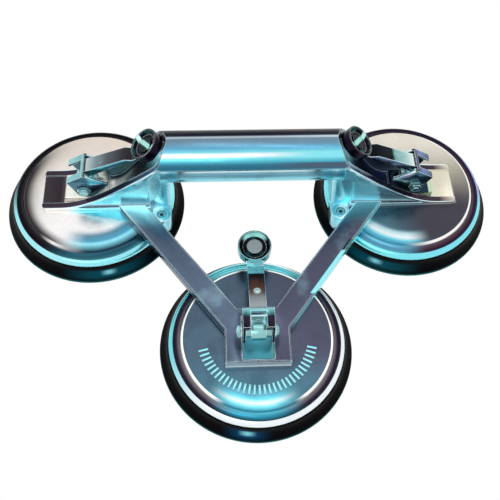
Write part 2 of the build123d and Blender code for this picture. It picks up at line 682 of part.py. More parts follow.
def make_boss_screws():
    """Socket screws in the bosses at the legs."""
    screws = []
    under_head = BOSS_TOP - CAP_RECESS - CAP_H
    u, v = boss_place()
    for side in (-1, 1):
        at = (side * (CUP_HALF_SPREAD - u), BACK_Y + v)
        head = rod(CAP_R, under_head, under_head + CAP_H, at)
        head = chamfer(head.edges().group_by(Axis.Z)[-1], CAP_CHAMFER)
        socket = Pos(at[0], at[1], under_head + CAP_H / 3) * extrude(
            RegularPolygon(CAP_SOCKET / 2 / cos(pi / 6), 6), CAP_H)
        screws.append(head + rod(CAP_THREAD_R, PAD_TOP + CAP_GAP, under_head, at) - socket)
    return Part() + screws


# Every node, built and written

def all_nodes():
    nodes = {
        "handle": make_handle(),
        "v_plate": make_v_plate(),
        "saddle_screws": make_saddle_screws(),
        "plate_screws": make_screws(plate_screw_places()),
        "boss_screws": make_boss_screws(),
    }
    lever = make_lever()
    thumb_cup = make_thumb_cup()
    thumb_rivet = make_thumb_rivet()
    pad = make_pad()
    wear_plate = make_wear_plate()
    for cup in CUPS:
        place = cup_frame(cup)
        swing = place * lever_frame(cup)
        nodes[cup + "_pad"] = place * pad
        nodes[cup + "_disc"] = place * make_disc(cup)
        nodes[cup + "_wear_plate"] = place * wear_plate
        nodes[cup + "_foot_plate"] = place * make_foot_plate(cup)
        nodes[cup + "_eye_stud"] = place * make_eye_stud(cup)
        nodes[cup + "_cross_pin"] = place * make_cross_pin(cup)
        nodes[cup + "_pin_nut"] = place * make_pin_nut(cup)
        nodes[cup + "_pin_washers"] = place * make_pin_washers(cup)
        nodes[cup + "_pin_spacers"] = place * make_pin_spacers(cup)
        nodes[cup + "_lever"] = swing * lever
        nodes[cup + "_thumb_cup"] = swing * thumb_cup
        nodes[cup + "_thumb_rivet"] = swing * thumb_rivet
    return nodes


os.makedirs("parts", exist_ok=True)
for name, shape in all_nodes().items():
    export_step(shape, "parts/" + name + ".step")
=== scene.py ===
# %% [markdown]
# # A floor tile suction lifter
#
# Three rubber pads under cast discs, joined by a tubular handle and a V-shaped
# plate. Each pad is drawn up by a small cam lever with a thumb cup on its end.
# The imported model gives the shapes, sizes and moving bodies. This script gives
# the finishes, the rounded edges and the smaller details, and the photo studio.

# %% Load the model that everything else is fitted to
import json
from math import cos, pi, radians, sin
import bpy
from mathutils import Matrix, Vector

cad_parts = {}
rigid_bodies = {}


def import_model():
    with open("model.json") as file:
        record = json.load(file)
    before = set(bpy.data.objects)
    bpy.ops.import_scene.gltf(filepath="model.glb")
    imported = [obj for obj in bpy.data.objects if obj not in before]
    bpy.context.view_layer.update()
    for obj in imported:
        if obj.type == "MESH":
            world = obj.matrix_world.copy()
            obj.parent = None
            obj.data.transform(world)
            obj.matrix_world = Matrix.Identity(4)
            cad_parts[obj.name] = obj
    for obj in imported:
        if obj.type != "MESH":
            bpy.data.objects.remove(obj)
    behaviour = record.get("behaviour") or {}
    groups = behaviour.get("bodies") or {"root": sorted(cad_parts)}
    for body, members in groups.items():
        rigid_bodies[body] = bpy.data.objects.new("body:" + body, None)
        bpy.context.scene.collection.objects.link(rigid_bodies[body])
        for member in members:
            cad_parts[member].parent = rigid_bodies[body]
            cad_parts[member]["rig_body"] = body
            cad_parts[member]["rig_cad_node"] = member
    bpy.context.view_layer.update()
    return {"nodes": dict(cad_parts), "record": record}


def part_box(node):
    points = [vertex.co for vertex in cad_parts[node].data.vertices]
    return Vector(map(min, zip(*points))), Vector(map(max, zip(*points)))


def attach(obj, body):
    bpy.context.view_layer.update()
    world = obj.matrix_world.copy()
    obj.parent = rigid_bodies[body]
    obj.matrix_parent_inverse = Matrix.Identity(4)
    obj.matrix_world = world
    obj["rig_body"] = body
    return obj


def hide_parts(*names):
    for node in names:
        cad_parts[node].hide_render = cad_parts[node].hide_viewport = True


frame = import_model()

MM = 0.001
CUPS = ("left", "right", "front")


# %% [markdown]
# ## The camera
#
# The photo was taken from in front and well above, with the camera turned a
# little to the left. A camera that looks at one point of the lifter from a
# stated direction and distance gives the same picture, and it needs no tilt
# set by hand.

# %% Place the camera
VIEW_AZIMUTH = radians(-5.27)
VIEW_ELEVATION = radians(60.73)
VIEW_ROLL = radians(3.42)
VIEW_DISTANCE = 482.7 * MM
VIEW_TARGET = Vector((-1.0, 16.15, 0)) * MM
FOCAL_IN_PICTURES = 716.5 / 500  # focal length over the picture's width

scene = bpy.context.scene
back = Vector((sin(VIEW_AZIMUTH) * cos(VIEW_ELEVATION),
               -cos(VIEW_AZIMUTH) * cos(VIEW_ELEVATION),
               sin(VIEW_ELEVATION)))
camera_data = bpy.data.cameras.new("photo_camera")
camera = bpy.data.objects.new("photo_camera", camera_data)
scene.collection.objects.link(camera)
level = back.to_track_quat("Z", "Y").to_matrix()
camera.matrix_world = (Matrix.Translation(VIEW_TARGET + back * VIEW_DISTANCE)
                       @ level.to_4x4() @ Matrix.Rotation(VIEW_ROLL, 4, "Z"))
camera_data.lens = camera_data.sensor_width * FOCAL_IN_PICTURES
camera_data.clip_start = 0.01
scene.camera = camera
print("lens", round(camera_data.lens, 1), "mm")


# %% [markdown]
# ## A short way to write shader nodes
#
# Colours are written as a picture editor shows them, from 0 to 255. The class
# Nodes adds nodes to one tree, and each of its methods returns the socket that
# it made, so that a finish reads from top to bottom like a formula. Places are
# in millimetres, and angles in degrees.

# %% The node writer
def tone(red, green, blue):
    """A picture editor's colour as the light that a shader needs."""
    return tuple(((c / 255 + 0.055) / 1.055) ** 2.4 if c > 10 else c / 255 / 12.92
                 for c in (red, green, blue))


def stops(*rows):
    """The pairs for a ramp, from rows of a value and a picture editor's colour."""
    return tuple((at, tone(red, green, blue)) for at, red, green, blue in rows)


class Nodes:
    """Adds nodes to one tree, and returns the sockets that they make."""

    def __init__(self, tree):
        self.tree = tree

    def add(self, kind, inputs=(), **settings):
        node = self.tree.nodes.new(kind)
        for key, value in settings.items():
            setattr(node, key, value)
        for key, value in dict(inputs).items():
            self.feed(node.inputs[key], value)
        return node

    def feed(self, socket, value):
        if isinstance(value, bpy.types.NodeSocket):
            self.tree.links.new(value, socket)
        elif isinstance(value, tuple) and len(value) == 3 and socket.type == "RGBA":
            socket.default_value = (*value, 1.0)
        else:
            socket.default_value = value

    def math(self, operation, first, second=0.0, third=0.0):
        node = self.add("ShaderNodeMath", operation=operation)
        for socket, value in zip(node.inputs, (first, second, third)):
            self.feed(socket, value)
        return node.outputs[0]

    def plus(self, first, second):
        return self.math("ADD", first, second)

    def minus(self, first, second):
        return self.math("SUBTRACT", first, second)

    def times(self, first, second):
        return self.math("MULTIPLY", first, second)

    def larger(self, first, second):
        return self.math("MAXIMUM", first, second)

    def absolute(self, value):
        return self.math("ABSOLUTE", value)

    def rise(self, value, low, high):
        """0 below low, 1 above high, smooth between; falls where low is above high."""
        node = self.add("ShaderNodeMapRange", interpolation_type="SMOOTHSTEP")
        for key, amount in (("Value", value), ("From Min", low), ("From Max", high)):
            self.feed(node.inputs[key], amount)
        return node.outputs[0]

    def band(self, value, low, high, soft):
        """1 between low and high, with soft edges."""
        return self.times(self.rise(value, low - soft / 2, low + soft / 2),
                         self.rise(value, high + soft / 2, high - soft / 2))

    def both(self, *masks):
        """The masks times each other: 1 only where each of them is 1."""
        result = masks[0]
        for mask in masks[1:]:
            result = self.times(result, mask)
        return result

    def mix(self, factor, first, second, blend="MIX"):
        node = self.add("ShaderNodeMix", data_type="RGBA", blend_type=blend)
        for index, value in ((0, factor), (6, first), (7, second)):
            self.feed(node.inputs[index], value)
        return node.outputs[2]

    def ramp(self, value, pairs):
        """Colours along a value, from pairs of a value and a colour."""
        low, high = pairs[0][0], pairs[-1][0]
        node = self.add("ShaderNodeMapRange")
        for key, amount in (("Value", value), ("From Min", low), ("From Max", high)):
            self.feed(node.inputs[key], amount)
        colours = self.add("ShaderNodeValToRGB", {"Fac": node.outputs[0]})
        elements = colours.color_ramp.elements
        elements[0].color = (*pairs[0][1], 1.0)
        elements[1].color = (*pairs[-1][1], 1.0)
        for at, colour in pairs[1:-1]:
            element = elements.new((at - low) / (high - low))
            element.color = (*colour, 1.0)
        return colours.outputs["Color"]

    def noise(self, scale, detail=3.0, stretch=(1, 1, 1)):
        """Smooth noise with spots of about 1/scale millimetres."""
        place = self.add("ShaderNodeTexCoord").outputs["Object"]
        scaled = self.add("ShaderNodeVectorMath", operation="MULTIPLY")
        self.feed(scaled.inputs[0], place)
        self.feed(scaled.inputs[1], tuple(part / MM for part in stretch))
        node = self.add("ShaderNodeTexNoise", {"Vector": scaled.outputs[0], "Scale": scale,
                                               "Detail": detail})
        return node.outputs["Fac"]

    def place(self):
        """Where the shaded point is, as three sockets in millimetres."""
        scaled = self.add("ShaderNodeVectorMath", operation="SCALE")
        self.feed(scaled.inputs[0], self.add("ShaderNodeTexCoord").outputs["Object"])
        self.feed(scaled.inputs["Scale"], 1 / MM)
        split = self.add("ShaderNodeSeparateXYZ", {"Vector": scaled.outputs[0]})
        return tuple(split.outputs)

    def facing(self):
        """The surface's direction, as three sockets."""
        normal = self.add("ShaderNodeNewGeometry").outputs["Normal"]
        return tuple(self.add("ShaderNodeSeparateXYZ", {"Vector": normal}).outputs)

    def polar(self, across, along):
        """Radius, and angle in degrees, of a point in a plane."""
        radius = self.math("SQRT", self.plus(self.times(across, across),
                                             self.times(along, along)))
        angle = self.math("DEGREES", self.math("ARCTAN2", along, across))
        return radius, angle


# %% [markdown]
# ## Shared effects
#
# Three node groups serve every finish. One finds the edges, where a finish lays a painted
# highlight. One gives the fine grain of the surface as a normal, and one gives smudges, which
# change how sharp a reflection is.

# %% A tool for node groups
def new_group(name, numbers, result, kind):
    """An empty group with number inputs and one output; returns it with its ends."""
    group = bpy.data.node_groups.new(name, "ShaderNodeTree")
    for label, value in numbers.items():
        socket = group.interface.new_socket(name=label, in_out="INPUT",
                                            socket_type="NodeSocketFloat")
        socket.default_value = value
    group.interface.new_socket(name=result, in_out="OUTPUT", socket_type=kind)
    start = group.nodes.new("NodeGroupInput")
    end = group.nodes.new("NodeGroupOutput")
    return group, start.outputs, end.inputs


# %% Node groups for edges, grain and smudges
def make_edge_group():
    group, given, results = new_group("edge_light", {"Radius": 0.0006}, "Mask", "NodeSocketFloat")
    n = Nodes(group)
    rounded = n.add("ShaderNodeBevel", {"Radius": given["Radius"]}, samples=6).outputs[0]
    sharp = n.add("ShaderNodeNewGeometry").outputs["Normal"]
    dot = n.add("ShaderNodeVectorMath", operation="DOT_PRODUCT")
    n.feed(dot.inputs[0], rounded)
    n.feed(dot.inputs[1], sharp)
    n.feed(results["Mask"], n.rise(dot.outputs["Value"], 0.995, 0.93))
    return group


def make_grain_group():
    group, given, results = new_group("fine_grain", {"Scale": 2.0, "Depth": 0.1}, "Normal",
                                      "NodeSocketVector")
    n = Nodes(group)
    height = n.noise(given["Scale"], 4.0)
    bump = n.add("ShaderNodeBump", {"Height": height, "Strength": given["Depth"],
                                    "Distance": 0.0002})
    n.feed(results["Normal"], bump.outputs["Normal"])
    return group


def make_smudge_group():
    group, given, results = new_group("smudges", {"Amount": 0.1}, "Value", "NodeSocketFloat")
    n = Nodes(group)
    clouds = n.rise(n.noise(0.08, 4.0), 0.45, 0.7)
    streaks = n.rise(n.noise(0.5, 2.0, (0.15, 1, 1)), 0.5, 0.8)
    both = n.plus(clouds, n.times(streaks, 0.4))
    n.feed(results["Value"], n.times(both, given["Amount"]))
    return group


EDGE_LIGHT = make_edge_group()
FINE_GRAIN = make_grain_group()
SMUDGES = make_smudge_group()
print("shared effects:", [group.name for group in (EDGE_LIGHT, FINE_GRAIN, SMUDGES)])


def use_group(n, group, numbers, output):
    node = n.add("ShaderNodeGroup", node_tree=group)
    for label, value in numbers.items():
        n.feed(node.inputs[label], value)
    return node.outputs[output]


# %% [markdown]
# ## Metal
#
# Every metal finish is made by one function. It takes a painter, a small function that returns
# the colour at each place, with the room's reflections painted in, and adds what all of them
# share: grain, smudges, a painted highlight on the edges, and painted shade where two faces meet.
# Between polished faces light goes to and fro more often than a render follows it, so a finish
# may glow a little in its own colour in such places, as painted bounce light.

# %% Tools for finishes
def new_tree(name):
    """An empty material, the writer of its nodes, and its output node."""
    material = bpy.data.materials.new(name)
    material.use_nodes = True
    material.node_tree.nodes.clear()
    n = Nodes(material.node_tree)
    return material, n, n.add("ShaderNodeOutputMaterial")


def closed_in(n, reach, openness):
    """1 where faces within reach shut a place in, 0 where it is more open than stated."""
    node = n.add("ShaderNodeAmbientOcclusion", {"Distance": reach * MM}, samples=6)
    return n.rise(node.outputs["AO"], openness, 0.1)


# %% The metal finish
# The colour of the painted highlight on edges, and that of the painted shade in crevices
EDGE_HIGHLIGHT_TONE = tone(226, 248, 250)
CREVICE_SHADE_TONE = tone(10, 14, 24)
CLOUD_TONE = (0.55, 0.6, 0.65)   # what a cloudy patch leaves of the colour
SMUDGE_AMOUNT = 0.14
CREVICE_SHADE_OPENNESS = 0.75            # painted shade starts where a place is less open than this
BOUNCE_OPENNESS = 0.95
BOUNCE_REACH = 14.0
BOUNCE_GAMMA = 0.85              # under 1 makes the returned colour paler


def metal(name, painter, roughness=0.28, edges=0.8, edge_width=0.6, grain=0.12,
          grain_scale=2.0, crevice_shade=0.7, crevice_shade_reach=5.0, mottle=0.12, bounce=0.0):
    """A metal in the painter's colours. Lengths are in millimetres, amounts from 0 to 1."""
    material, n, out = new_tree(name)
    colour = painter(n, *n.place())
    cloud = n.rise(n.noise(0.35, 5.0), 0.3, 0.75)
    clouded = n.mix(1.0, colour, CLOUD_TONE, "MULTIPLY")
    colour = n.mix(n.times(cloud, mottle), colour, clouded)
    # Painted shade where other faces close a place in, then a painted highlight along the edges
    crevice = closed_in(n, crevice_shade_reach, CREVICE_SHADE_OPENNESS)
    colour = n.mix(n.times(crevice, crevice_shade), colour, CREVICE_SHADE_TONE)
    edge = use_group(n, EDGE_LIGHT, {"Radius": edge_width * MM}, "Mask")
    colour = n.mix(n.times(edge, edges), colour, EDGE_HIGHLIGHT_TONE)
    rough = n.plus(use_group(n, SMUDGES, {"Amount": SMUDGE_AMOUNT}, "Value"), roughness)
    normal = use_group(n, FINE_GRAIN, {"Scale": grain_scale, "Depth": grain}, "Normal")
    shader = n.add("ShaderNodeBsdfPrincipled", {"Base Color": colour, "Metallic": 1.0,
                                                "Roughness": rough, "Normal": normal})
    # Painted bounce light: where faces close in, the finish glows in a paler copy of its colour
    if bounce:
        paler = n.add("ShaderNodeGamma", {"Color": colour, "Gamma": BOUNCE_GAMMA})
        between = closed_in(n, BOUNCE_REACH, BOUNCE_OPENNESS)
        n.feed(shader.inputs["Emission Color"], paler.outputs[0])
        n.feed(shader.inputs["Emission Strength"], n.times(between, bounce))
    n.feed(out.inputs["Surface"], shader.outputs["BSDF"])
    return material


# %% [markdown]
# ## Where the cups stand
#
# The painters measure from the axes of the cups and of the tube, which are
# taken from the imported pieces.

# %% Find the axes
left_low, left_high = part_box("left_pad")
front_low, front_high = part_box("front_pad")
CUP_X = -(left_low.x + left_high.x) / 2 / MM
BACK_Y = (left_low.y + left_high.y) / 2 / MM
FRONT_Y = (front_low.y + front_high.y) / 2 / MM
GRIP_R = 15.7
GRIP_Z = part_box("handle")[1].z / MM - GRIP_R
CENTRES = {"left": (-CUP_X, BACK_Y), "right": (CUP_X, BACK_Y), "front": (0, FRONT_Y)}
print("cup axes in millimetres:", {cup: (round(x, 2), round(y, 2))
                                   for cup, (x, y) in CENTRES.items()})


# %% [markdown]
# ## The handle's colours
#
# Polished aluminium has hardly a colour of its own: it shows the room. The room it stood in has a
# dark ceiling behind, a white strip lamp and a cyan wall in front, and these are painted on the
# tube as stripes of reflection. They are given by the angle round the tube, from the front over
# the top to the back. The saddles' wells, rims and flanks carry painted reflections, highlights
# and shade too, told apart by their place and by the way they face.

# %% The handle's colours, as ramps
# Angles round the tube in degrees: 0 is its front, 90 its top
TUBE_STRIPES = stops(
    (-90, 176, 236, 245), (-50, 176, 240, 248), (-20, 128, 204, 220), (-10, 92, 150, 170),
    (3, 104, 168, 188), (10, 222, 248, 252), (14, 150, 200, 216), (19, 40, 108, 132),
    (30, 56, 122, 146), (38, 84, 184, 204), (46, 130, 224, 236), (50.5, 246, 252, 254),
    (55, 250, 253, 255), (59, 134, 224, 238), (68, 100, 176, 212), (78, 108, 150, 174),
    (92, 114, 136, 154), (97, 190, 205, 215), (102, 36, 38, 58), (110, 12, 13, 28),
    (150, 14, 16, 30), (180, 60, 80, 92))
# Distances from the middle of the leg
LEG_STRIPES = stops(
    (-14, 156, 234, 244), (-9, 180, 240, 246), (-5, 130, 202, 216), (0, 150, 220, 232),
    (5, 180, 240, 246), (9, 134, 214, 228), (14, 190, 244, 248))
# Heights
LEFT_FLANK = stops((18, 156, 234, 244), (21, 200, 244, 248), (24, 136, 218, 232),
                   (32, 166, 240, 248), (44, 136, 212, 228), (54, 176, 240, 248))
RIGHT_FLANK = stops((18, 170, 212, 220), (26, 140, 172, 184), (34, 164, 190, 200),
                    (44, 196, 216, 224), (54, 140, 194, 206))
# Distances along the saddle, from the cup's axis towards the tube
LEFT_WELL = stops(
    (-33, 66, 60, 66), (-21, 50, 46, 52), (-18.5, 74, 68, 70), (-17, 236, 226, 214),
    (8, 246, 244, 238), (20, 250, 249, 244), (25, 240, 236, 226), (29, 110, 110, 106),
    (37, 36, 60, 74), (44, 84, 160, 170), (53, 150, 225, 230))
RIGHT_WELL = stops(
    (-33, 226, 222, 204), (-21, 216, 210, 188), (-17, 196, 214, 186), (-8, 90, 110, 116),
    (8, 20, 30, 60), (22, 30, 44, 84), (33, 26, 46, 76), (38, 40, 84, 104),
    (43, 130, 200, 208), (48, 40, 90, 108), (53, 60, 110, 124))
LEFT_RIM = stops((-33, 58, 50, 58), (-10, 64, 56, 74), (20, 72, 74, 104), (46, 96, 132, 160))
RIGHT_RIM = stops((-33, 214, 206, 190), (-22, 70, 58, 66), (0, 40, 26, 46), (30, 52, 50, 78),
                  (46, 110, 150, 175))


# %% Paint the tube
def paint_tube(n, x, across, z):
    """The painted reflection stripes round the tube; towards the right the lamp fades and the
    wall is greyer.
    """
    turn = n.polar(across, n.minus(z, GRIP_Z))[1]
    colour = n.ramp(turn, TUBE_STRIPES)
    rightwards = n.rise(x, 0, 40)
    colour = n.mix(n.both(rightwards, n.band(turn, 46, 59, 3)), colour, tone(140, 232, 244))
    return n.mix(n.both(rightwards, n.band(turn, 20, 34, 5)), colour, tone(78, 98, 120))


# %% Paint the saddles' outsides, the legs and the wells
# A pair says where a field starts to show and where it shows in full.
LEG_OUTSIDE = (69, 66)           # out from the handle's middle
LEG_AT = 59.5
SADDLE_TAIL = (-8, -20)          # from the cup's axis towards the tube
RIGHT_FLANK_END = (44, 38)


def paint_flank(n, span, along, right, z):
    """The outsides of the saddles, and the legs."""
    on_right = n.both(right, n.rise(along, *RIGHT_FLANK_END))
    colour = n.mix(on_right, n.ramp(z, LEFT_FLANK), n.ramp(z, RIGHT_FLANK))
    # Towards the saddle's tail the flank takes a cream painted reflection
    colour = n.mix(n.rise(along, *SADDLE_TAIL), colour, tone(232, 228, 222))
    leg = n.ramp(n.minus(span, LEG_AT), LEG_STRIPES)
    return n.mix(n.rise(span, *LEG_OUTSIDE), colour, leg)


def paint_well(n, across, along, right):
    """The open wells, in painted reflection; the left one has painted shade behind the lever."""
    shade_behind_lever = n.both(n.rise(across, -5.5, -9), n.rise(along, 4, 10))
    left_well = n.mix(shade_behind_lever, n.ramp(along, LEFT_WELL), tone(36, 58, 70))
    return n.mix(right, left_well, n.ramp(along, RIGHT_WELL))


# %% Join them into the painter of the handle
TUBE_END = (50, 51)              # out from the handle's middle
SADDLE_START = (56.5, 58.5)
WELL_END = (53.4, 52.6)          # from the cup's axis towards the tube
RIM_END = (50.5, 49.5)
RIM_HIGHLIGHT_END = (49.5, 47)
WELL_SIDE = (11.1, 10.85)        # out from the saddle's middle line
RIM_INSIDE = (9.9, 10.4)
RIM_HIGHLIGHT_INSIDE = (14.6, 15.1)
TUBE_UNDERSIDE = (46, 43)        # heights
SADDLE_TOP = (58.5, 54)


def paint_handle(n, x, y, z):
    """Tube, flanks, rims and wells, each over the one before."""
    across = n.minus(BACK_Y, y)
    off_line = n.absolute(across)
    span = n.absolute(x)
    along = n.minus(CUP_X, span)
    right = n.rise(x, -1, 1)
    up = n.facing()[2]
    on_saddle = n.rise(span, *SADDLE_START)
    under_tube = n.both(n.rise(z, *TUBE_UNDERSIDE), n.rise(span, *TUBE_END))
    on_flank = n.larger(under_tube, n.both(on_saddle, n.rise(z, *SADDLE_TOP)))
    colour = n.mix(on_flank, paint_tube(n, x, across, z),
                   paint_flank(n, span, along, right, z))
    rim = n.mix(right, n.ramp(along, LEFT_RIM), n.ramp(along, RIGHT_RIM))
    on_rim = n.both(on_saddle, n.rise(up, 0.45, 0.62), n.rise(off_line, *RIM_INSIDE),
                    n.rise(along, *RIM_END))
    colour = n.mix(on_rim, colour, rim)
    # A thin painted highlight along the rims' outer edge
    rim_highlight = n.both(on_saddle, n.rise(up, 0.3, 0.5), n.rise(along, *RIM_HIGHLIGHT_END),
                      n.rise(off_line, *RIM_HIGHLIGHT_INSIDE))
    colour = n.mix(rim_highlight, colour, tone(226, 248, 252))
    in_well = n.both(on_saddle, n.rise(off_line, *WELL_SIDE), n.rise(along, *WELL_END))
    return n.mix(in_well, colour, paint_well(n, across, along, right))


handle_metal = metal("cast_aluminium_handle", paint_handle, roughness=0.2, edges=0.75,
                     edge_width=0.5, grain=0.06, crevice_shade=0.25, crevice_shade_reach=1.5, mottle=0.1,
                     bounce=0.36)
print("handle finish:", handle_metal.name)


# %% [markdown]
# ## The discs' colours
#
# Each disc is painted by its distance from the cup's axis and the angle round it, all in painted
# reflections and highlights: the flat top, a thin highlight line where the top ends, a dark
# shoulder, and a bright rim. The three tops differ, because each shows another part of the room.
# Angles are in degrees: 90 is the back, and -90 the front.

# %% How a disc is painted
FLAT_R = 46.2
SHOULDER_R = 51.2
HIGHLIGHT_LINE_TONE = tone(252, 252, 248)


def around(n, angle, middle, half, soft):
    """1 within half an angle of one direction round the disc, 0 away from it."""
    turn = n.math("WRAP", n.minus(angle, middle), 180.0, -180.0)
    return n.rise(n.absolute(turn), half + soft / 2, half - soft / 2)


def disc_painter(cup, field, shoulder, rim, line):
    """A painter for one disc. Line is where the painted highlight line shows: middle, half and
    soft.
    """
    def paint(n, x, y, z):
        u = n.minus(x, CENTRES[cup][0])
        v = n.minus(y, CENTRES[cup][1])
        radius, angle = n.polar(u, v)
        colour = field(n, radius, angle, u, v)
        on_highlight_line = n.both(around(n, angle, *line), n.band(radius, FLAT_R - 1.3, FLAT_R + 0.3, 0.5))
        colour = n.mix(on_highlight_line, colour, HIGHLIGHT_LINE_TONE)
        colour = n.mix(n.rise(radius, FLAT_R + 0.1, FLAT_R + 0.9), colour,
                       shoulder(n, radius, angle))
        return n.mix(n.rise(radius, SHOULDER_R - 0.3, SHOULDER_R + 0.3), colour, rim(n, angle))
    return paint


def disc_finish(cup, field, shoulder, rim, line):
    return metal("polished_disc_" + cup, disc_painter(cup, field, shoulder, rim, line),
                 roughness=0.22, grain=0.05, edges=0.2, edge_width=0.25, crevice_shade=0.4)


# %% [markdown]
# The front disc is slate blue, with a cyan and white painted highlight near its front edge.

# %% The front disc
FRONT_GLOW = stops((32, 84, 124, 142), (37, 96, 170, 192), (39, 110, 214, 230),
                   (41.5, 224, 250, 252), (43.5, 126, 220, 234), (46, 48, 140, 166))
FRONT_SHOULDER = stops((46.5, 140, 130, 136), (49, 48, 42, 60), (51, 16, 14, 26))
FRONT_SHOULDER_GLOW = stops((46, 120, 220, 236), (48, 60, 160, 190), (51, 18, 52, 66))


def front_field(n, radius, angle, u, v):
    base = n.mix(n.rise(u, -30, 35), tone(72, 92, 108), tone(76, 78, 96))
    base = n.mix(n.rise(v, -8, -36), base, tone(72, 110, 128))
    in_glow = n.both(around(n, angle, -95, 26, 30), n.rise(radius, 31, 36))
    return n.mix(in_glow, base, n.ramp(radius, FRONT_GLOW))


def front_shoulder(n, radius, angle):
    dark = n.mix(around(n, angle, 90, 35, 30), n.ramp(radius, FRONT_SHOULDER),
                 tone(140, 226, 232))
    return n.mix(around(n, angle, -92, 24, 30), dark, n.ramp(radius, FRONT_SHOULDER_GLOW))


def front_rim(n, angle):
    return n.mix(around(n, angle, 150, 60, 50), tone(240, 248, 252), tone(120, 220, 232))


# %% [markdown]
# The left disc is cream, with a dark left edge. At its front lie a small dark painted reflection
# with a bright ring, and the handle's cyan as a slanted wedge of painted reflection.

# %% The left disc
LEFT_GLOW = stops((30, 236, 238, 240), (35, 96, 140, 160), (39, 80, 160, 190),
                  (41, 150, 226, 240), (43, 110, 180, 196), (46, 30, 60, 76))
LEFT_SHOULDER = stops((46, 52, 46, 50), (48, 30, 26, 32), (51, 16, 14, 22))
LEFT_SHOULDER_GLOW = stops((46, 60, 110, 130), (48, 36, 80, 98), (51, 60, 120, 134))
WEDGE_SLANT = 0.26


def left_field(n, radius, angle, u, v):
    base = n.mix(n.rise(v, 40, -10), tone(226, 214, 204), tone(246, 243, 242))
    grey_side = n.both(around(n, angle, 165, 40, 60), n.rise(radius, 30, 44))
    base = n.mix(grey_side, base, tone(176, 172, 164))
    dark_edge = n.both(around(n, angle, 195, 55, 40), n.rise(radius, 38, 45))
    base = n.mix(dark_edge, base, tone(52, 46, 50))
    in_glow = n.both(around(n, angle, -72, 34, 30), n.rise(radius, 29, 34))
    base = n.mix(in_glow, base, n.ramp(radius, LEFT_GLOW))
    slanted = n.plus(v, n.times(u, WEDGE_SLANT))
    wedge = n.both(n.rise(slanted, -20, -17.5), n.rise(v, -10, -13), n.rise(u, -18, -6))
    return n.mix(wedge, base, tone(156, 232, 242))


def left_shoulder(n, radius, angle):
    return n.mix(around(n, angle, -70, 45, 30), n.ramp(radius, LEFT_SHOULDER),
                 n.ramp(radius, LEFT_SHOULDER_GLOW))


def left_rim(n, angle):
    colour = n.mix(around(n, angle, 110, 75, 40), tone(150, 236, 246), tone(14, 12, 20))
    return n.mix(around(n, angle, -130, 30, 30), colour, tone(170, 240, 248))


# %% [markdown]
# The right disc is cream behind and slate in front, with a painted highlight at the left of its
# front edge.

# %% The right disc
RIGHT_GLOW = stops((35, 110, 150, 166), (38, 190, 226, 234), (41, 240, 250, 252),
                   (43.5, 120, 214, 232), (46, 60, 140, 170))
RIGHT_SHOULDER = stops((46, 120, 96, 104), (47.5, 84, 64, 76), (50, 40, 22, 44),
                       (51, 60, 50, 90))
RIGHT_SHOULDER_GLOW = stops((46, 120, 190, 210), (48, 90, 160, 190), (51, 70, 130, 150))


def right_field(n, radius, angle, u, v):
    cream = n.mix(n.rise(v, 10, 40), tone(180, 176, 160), tone(222, 216, 204))
    slate = n.both(n.larger(n.rise(v, -13, -15), n.rise(u, 32.5, 34.5)), n.rise(angle, 34, -26))
    base = n.mix(slate, cream, tone(72, 70, 80))
    teal_reflection = n.both(n.rise(v, -12, -20), n.rise(u, 12, -22))
    base = n.mix(teal_reflection, base, tone(84, 122, 138))
    in_glow = n.both(around(n, angle, -110, 26, 24), n.rise(radius, 34, 38))
    return n.mix(in_glow, base, n.ramp(radius, RIGHT_GLOW))


def right_shoulder(n, radius, angle):
    return n.mix(around(n, angle, -112, 22, 24), n.ramp(radius, RIGHT_SHOULDER),
                 n.ramp(radius, RIGHT_SHOULDER_GLOW))


def right_rim(n, angle):
    colour = n.mix(around(n, angle, 75, 65, 40), tone(130, 230, 242), tone(14, 12, 20))
    return n.mix(around(n, angle, 10, 18, 20), colour, tone(150, 170, 220))


# %% Make the three disc finishes
disc_metal = {
    "front": disc_finish("front", front_field, front_shoulder, front_rim, (90, 148, 14)),
    "left": disc_finish("left", left_field, left_shoulder, left_rim, (-120, 6, 20)),
    "right": disc_finish("right", right_field, right_shoulder, right_rim, (-10, 75, 30)),
}
print("disc finishes:", [finish.name for finish in disc_metal.values()])


# %% [markdown]
# ## The V-plate's colours
#
# The real plate is one flat casting. Its top is slate, cloudy and cooler on the left. Painted
# reflections make the ends of the arms bright and lay a cyan strip with a dark end along the
# right arm's outer edge, and its sides are painted by the way they face. An image could carry
# this, but painting by place needs no unwrapping and stays sharp from near by.

# %% The painter of the V-plate
ARM_CORNER = (19.6, FRONT_Y + 2.3)  # where the right arm's outer edge leaves the base
ARM_SLOPE = (0.8, 0.6)              # the way across the right arm, to its outer edge


